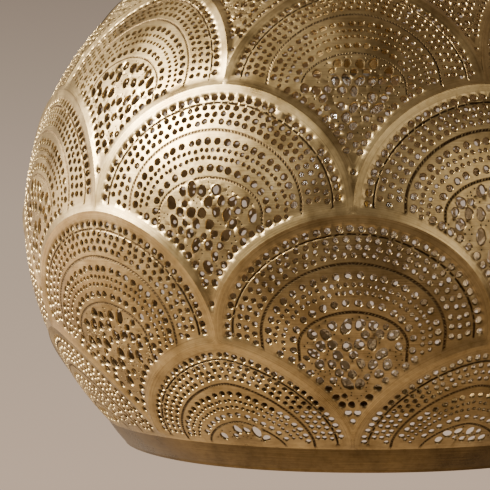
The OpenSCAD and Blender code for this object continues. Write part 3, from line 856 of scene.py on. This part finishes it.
def plated(name, light, dark, rough, metallic=1.0, scale=260.0, strength=0.2):
    """A bought metal or moulded fitting: fine grain, cloudy wear."""
    s = Shader(name)
    cloud = s.noise(scale * 0.4, 4.0, 0.6)
    grain = s.noise(scale * 6.0, 3.0, 0.6)
    colour = s.ramp(cloud, [(0.32, rgb(*dark)), (0.68, rgb(*light))])
    gloss = s.math("MULTIPLY_ADD", grain, 0.16, rough - 0.08)
    s.bump(grain, strength, 0.00008)
    return s.set(Base_Color=colour, Metallic=metallic, Roughness=gloss)


def clear_glass():
    s = Shader("clear bulb glass")
    haze = s.noise(60.0, 4.0, 0.6)
    gloss = s.math("MULTIPLY", haze, 0.05)
    tint = s.ramp(haze, [(0.3, rgb(0.93, 0.95, 0.94)), (0.7, rgb(0.99, 0.99, 0.98))])
    return s.set(Base_Color=tint, Roughness=gloss, IOR=1.5, Transmission_Weight=1.0)


BRASS = aged_brass("pierced brass", (0.57, 0.435, 0.22), (0.215, 0.15, 0.063), worked=True)
# The rim is the same brass as the pierced globe, darkened about threefold: painted shade on the
# downward-facing band.
SHADED_RIM_BRASS = aged_brass("shaded rim brass", (0.205, 0.142, 0.062), (0.065, 0.043, 0.018), brush_turns=3.0)
SPUN_BRASS = aged_brass("spun brass", (0.58, 0.44, 0.21), (0.28, 0.195, 0.085), brush_turns=4.0)
WIRE_BRASS = plated("drawn brass", (0.56, 0.39, 0.16), (0.26, 0.165, 0.06), 0.36)
TURNED_BRASS = plated("turned brass", (0.72, 0.54, 0.24), (0.50, 0.35, 0.13), 0.28)
HOLDER_BRASS = plated("holder brass", (0.60, 0.43, 0.19), (0.38, 0.25, 0.09), 0.32)
STEEL = plated("plated steel", (0.60, 0.59, 0.55), (0.36, 0.35, 0.32), 0.34)
PLASTIC = plated("black plastic", (0.035, 0.034, 0.031), (0.012, 0.012, 0.011), 0.45, metallic=0.0)
CERAMIC = plated("porcelain", (0.82, 0.80, 0.73), (0.66, 0.63, 0.55), 0.22, metallic=0.0, scale=120.0)
FILAMENT = plated("phosphor", (0.90, 0.58, 0.12), (0.66, 0.38, 0.06), 0.55, metallic=0.0, scale=900.0)
GLASS = clear_glass()

SLOT_MATERIAL = {
    "pierced_brass": BRASS, "antique_brass": SPUN_BRASS, "holder_brass": HOLDER_BRASS,
    "plain_brass": TURNED_BRASS, "plated_steel": STEEL, "black_plastic": PLASTIC,
    "white_ceramic": CERAMIC, "clear_glass": GLASS, "filament": FILAMENT,
}
for part in frame["record"]["subparts"]:
    node = frame["nodes"][part["node"]]
    node.data.materials.clear()
    node.data.materials.append(SLOT_MATERIAL[part["material_slot"]])
for name in ("hanging_ring", "hanging_loop"):
    frame["nodes"][name].data.materials[0] = WIRE_BRASS


# ---------------------------------------------------------------- the globe

for row in range(ROWS):
    for column in range(COLUMNS):
        pattern = Pattern(Tile(row, column)).draw()
        points, faces, marks = Sheet(pattern).build()
        scale_piece = new_mesh(f"scale_{row + 1}_{column + 1}", points, faces, marks)
        dress(scale_piece, "lantern", BRASS, "pierced_brass", "globe_shell")


# ---------------------------------------------------------------- the rim

SEAM_LON = -16.0                  # where the soldered seam meets the globe
SEAM_LEAN = 1.2                   # how far the seam leans over the height of the rim


def quads(low, high, around):
    """Faces between two closed rows of points, given by their first numbers."""
    here = np.arange(around)
    after = (here + 1) % around
    return np.stack([low + here, high + here, high + after, low + after], 1)


def build_rim():
    """The plain band: a rolled sheet with a dressed lower edge and a soldered seam."""
    around = 720
    top = np.array([GLOBE_A * math.cos(math.radians(RIM_LAT)), GLOBE_Z + GLOBE_B * RIM_SIN])
    low_r = rim_low_radius()
    low_z = rim_low.z
    profile = rim_profile(top, low_r, low_z)
    lon = np.arange(around) * 360 / around
    rows = []
    for r, z, sink in profile:
        wobble = 0.16 * np.sin(np.radians(3 * lon + 40))
        wobble += 0.10 * np.sin(np.radians(7 * lon + 10 + 900 * (z - low_z)))
        share = (top[1] - z) / (top[1] - low_z)
        away = (lon - SEAM_LON + SEAM_LEAN * share + 180) % 360 - 180
        seam = 0.16 * np.exp(-(away / 0.45) ** 2) - 0.12 * np.exp(-((away - 1.0) / 0.5) ** 2)
        radius = r + (wobble * share + seam * sink) * MM
        height = np.full(around, z) + 0.12 * MM * np.sin(np.radians(5 * lon + 70)) * share ** 2
        turn = np.radians(lon)
        rows.append(np.stack([radius * np.sin(turn), -radius * np.cos(turn), height], 1))
    points = np.concatenate(rows)
    count = len(profile)
    faces = [quads(i * around, (i + 1) % count * around, around) for i in range(count)]
    return points, np.concatenate(faces)


def rim_low_radius():
    """Outside radius of the rim's lower edge, read from the CAD rim."""
    mesh = frame["nodes"]["bottom_rim"].data
    co = np.empty(len(mesh.vertices) * 3, np.float32)
    mesh.vertices.foreach_get("co", co)
    co = co.reshape(-1, 3)
    low = co[co[:, 2] < rim_low.z + 0.9 * MM]
    return float(np.hypot(low[:, 0], low[:, 1]).max())


def rim_profile(top, low_r, low_z):
    """Closed section of the rim from its top outside corner down and back up inside: r, z, seam share."""
    lip = 0.75 * MM
    outside = []
    for share in np.linspace(0, 1, 12):
        swell = 0.35 * MM * math.sin(math.pi * share)
        r = top[0] + (low_r - top[0]) * share + swell
        outside.append((r, top[1] + (low_z + lip - top[1]) * share, 1.0))
    bottom = [(low_r - lip + lip * math.cos(t), low_z + lip + lip * math.sin(t), 0.5)
              for t in np.linspace(-0.3, -math.pi + 0.3, 9)]
    inner = [(low_r - 2 * lip, low_z + lip, 0.0),
             (top[0] - SHEET * 1.1, top[1] - 1.2 * MM, 0.0), (top[0] - SHEET * 0.8, top[1], 0.0)]
    return outside + bottom + inner


rim_points, rim_faces = build_rim()
rim = new_mesh("rim_band", rim_points, rim_faces, sharp=40)
dress(rim, "lantern", SHADED_RIM_BRASS, "pierced_brass", "bottom_rim")


# ---------------------------------------------------------------- bulb cap with its rolled thread

def build_bulb_cap():
    """The bulb's screw cap: a thin shell rolled into the round thread of its pitch."""
    low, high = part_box("bulb_cap")
    pitch = 3.629 * MM
    around = 96
    crest = high.x
    thread_low, thread_high = low.z + 3.0 * MM, high.z - 2.0 * MM
    heights = np.concatenate([[low.z], np.linspace(low.z + 0.4 * MM, high.z - 1.2 * MM, 90),
                              [high.z - 0.6 * MM, high.z]])
    turn = np.arange(around) * 2 * math.pi / around
    rows = []
    for z in heights:
        run_in = min(1, max(0, (z - thread_low) / pitch * 1.5))
        run_out = min(1, max(0, (thread_high - z) / pitch * 1.5))
        wave = 0.5 - 0.5 * np.cos(2 * math.pi * z / pitch - turn)
        radius = crest - 0.15 * MM - 1.0 * MM * run_in * run_out * wave
        if z > high.z - 1.0 * MM:
            radius = np.full(around, crest - 1.6 * MM - 1.4 * MM * (z - high.z + 1.0 * MM) / MM)
        rows.append(np.stack([radius * np.cos(turn), radius * np.sin(turn), np.full(around, z)], 1))
    top_inner = np.stack([(crest - 5 * MM) * np.cos(turn), (crest - 5 * MM) * np.sin(turn),
                          np.full(around, high.z)], 1)
    rows.append(top_inner)
    faces = [quads((i + 1) * around, i * around, around) for i in range(len(rows) - 1)]
    return np.concatenate(rows), np.concatenate(faces)


cap_points, cap_faces = build_bulb_cap()
screw_cap = new_mesh("bulb_screw_cap", cap_points, cap_faces, sharp=60)
dress(screw_cap, "bulb", STEEL, "plated_steel", "bulb_cap")


# ---------------------------------------------------------------- stage, light and camera

FLOOR_Z = -0.56


def build_floor():
    """A wide pale floor whose edge fades into the room."""
    bpy.ops.mesh.primitive_circle_add(vertices=96, radius=3.2, fill_type="NGON", location=(0, 0, FLOOR_Z))
    floor = bpy.context.object
    floor.name = "floor"
    s = Shader("pale floor")
    mottle = s.noise(2.2, 3.0, 0.5)
    colour = s.ramp(mottle, [(0.3, rgb(0.215, 0.168, 0.128)), (0.7, rgb(0.240, 0.190, 0.145))])
    s.set(Base_Color=colour, Roughness=0.8)
    where = s.object_point()
    far = s.node("ShaderNodeVectorMath")
    far.operation = "LENGTH"
    s.link(where[0], where[1], far, "Vector")
    fade = s.ramp(s.math("DIVIDE", (far, "Value"), 3.2), [(0.12, rgb(0, 0, 0)), (0.40, rgb(1, 1, 1))])
    clear = s.node("ShaderNodeBsdfTransparent")
    blend = s.node("ShaderNodeMixShader")
    s.link(fade[0], fade[1], blend, "Fac")
    s.link(s.bsdf, "BSDF", blend, 1)
    s.link(clear, "BSDF", blend, 2)
    s.link(blend, "Shader", s.output, "Surface")
    floor.data.materials.append(s.material)


def area_light(name, place, size, power, colour, target):
    light = bpy.data.lights.new(name, "AREA")
    light.shape = "DISK"
    light.size = size
    light.energy = power
    light.color = colour
    lamp = bpy.data.objects.new(name, light)
    lamp.location = place
    lamp.rotation_euler = (Vector(target) - Vector(place)).to_track_quat("-Z", "Y").to_euler()
    bpy.context.scene.collection.objects.link(lamp)


def build_room():
    """A warm grey room, brighter low down and on the left, with a big window on the left."""
    world = bpy.data.worlds.new("room")
    bpy.context.scene.world = world
    world.use_nodes = True
    tree = world.node_tree
    tree.nodes.clear()
    out = tree.nodes.new("ShaderNodeOutputWorld")
    back = tree.nodes.new("ShaderNodeBackground")
    way = tree.nodes.new("ShaderNodeTexCoord")
    split = tree.nodes.new("ShaderNodeSeparateXYZ")
    height = tree.nodes.new("ShaderNodeMapRange")
    height.inputs["From Min"].default_value = -1.0
    ramp = tree.nodes.new("ShaderNodeValToRGB")
    levels = ((0.0, 0.13, 0.775, 0.60), (0.33, 0.20, 0.76, 0.575), (0.42, 0.655, 0.745, 0.55),
              (0.485, 0.51, 0.77, 0.59), (0.55, 0.25, 0.775, 0.60), (0.63, 0.35, 0.775, 0.60),
              (1.0, 0.42, 0.775, 0.60))
    while len(ramp.color_ramp.elements) < len(levels):
        ramp.color_ramp.elements.new(0.5)
    for element, (place, level, green, blue) in zip(ramp.color_ramp.elements, levels):
        element.position = place
        element.color = (level, green * level, blue * level, 1.0)
    front = tree.nodes.new("ShaderNodeMapRange")
    for label, value in (("From Min", -0.4), ("From Max", 0.3), ("To Min", 0.5), ("To Max", 1.0)):
        front.inputs[label].default_value = value
    low_left = tree.nodes.new("ShaderNodeVectorMath")
    low_left.operation = "DOT_PRODUCT"
    low_left.inputs[1].default_value = (-0.92, 0.23, -0.31)
    glow = tree.nodes.new("ShaderNodeMapRange")
    for label, value in (("From Min", 0.70), ("From Max", 0.95), ("To Min", 1.0), ("To Max", 5.0)):
        glow.inputs[label].default_value = value
    strength = tree.nodes.new("ShaderNodeMath")
    strength.operation = "MULTIPLY"
    tree.links.new(way.outputs["Generated"], low_left.inputs[0])
    tree.links.new(low_left.outputs["Value"], glow.inputs["Value"])
    tree.links.new(glow.outputs["Result"], strength.inputs[0])
    tree.links.new(front.outputs["Result"], strength.inputs[1])
    tree.links.new(way.outputs["Generated"], split.inputs["Vector"])
    tree.links.new(split.outputs["Z"], height.inputs["Value"])
    tree.links.new(split.outputs["Y"], front.inputs["Value"])
    tree.links.new(height.outputs["Result"], ramp.inputs["Fac"])
    tree.links.new(strength.outputs["Value"], back.inputs["Strength"])
    tree.links.new(ramp.outputs["Color"], back.inputs["Color"])
    tree.links.new(back.outputs["Background"], out.inputs["Surface"])
    middle = (0, 0, GLOBE_Z)
    area_light("key", (-1.05, -0.36, 0.44), 0.5, 98.0, (1.0, 0.95, 0.87), middle)
    area_light("window", (-1.6, 0.30, 0.35), 1.2, 24.0, (1.0, 0.95, 0.88), middle)
    area_light("fill", (1.2, -1.4, 0.1), 1.2, 8.5, (1.0, 0.93, 0.84), middle)


def build_camera():
    """A long lens just above the middle of the globe, turned left and tilted down from its centre."""
    distance = 6.6 * GLOBE_A
    elevation = math.radians(2.0)
    tilt = math.radians(0.725)
    turn = math.radians(2.878)
    camera = bpy.data.cameras.new("camera")
    camera.sensor_width = 36.0
    camera.lens = 158.6
    camera.clip_start = 0.01
    holder = bpy.data.objects.new("camera", camera)
    bpy.context.scene.collection.objects.link(holder)
    holder.location = (0, -distance * math.cos(elevation), GLOBE_Z + distance * math.sin(elevation))
    holder.rotation_euler = (math.pi / 2 - elevation - tilt, 0, turn)
    bpy.context.scene.camera = holder


build_floor()
build_room()
build_camera()
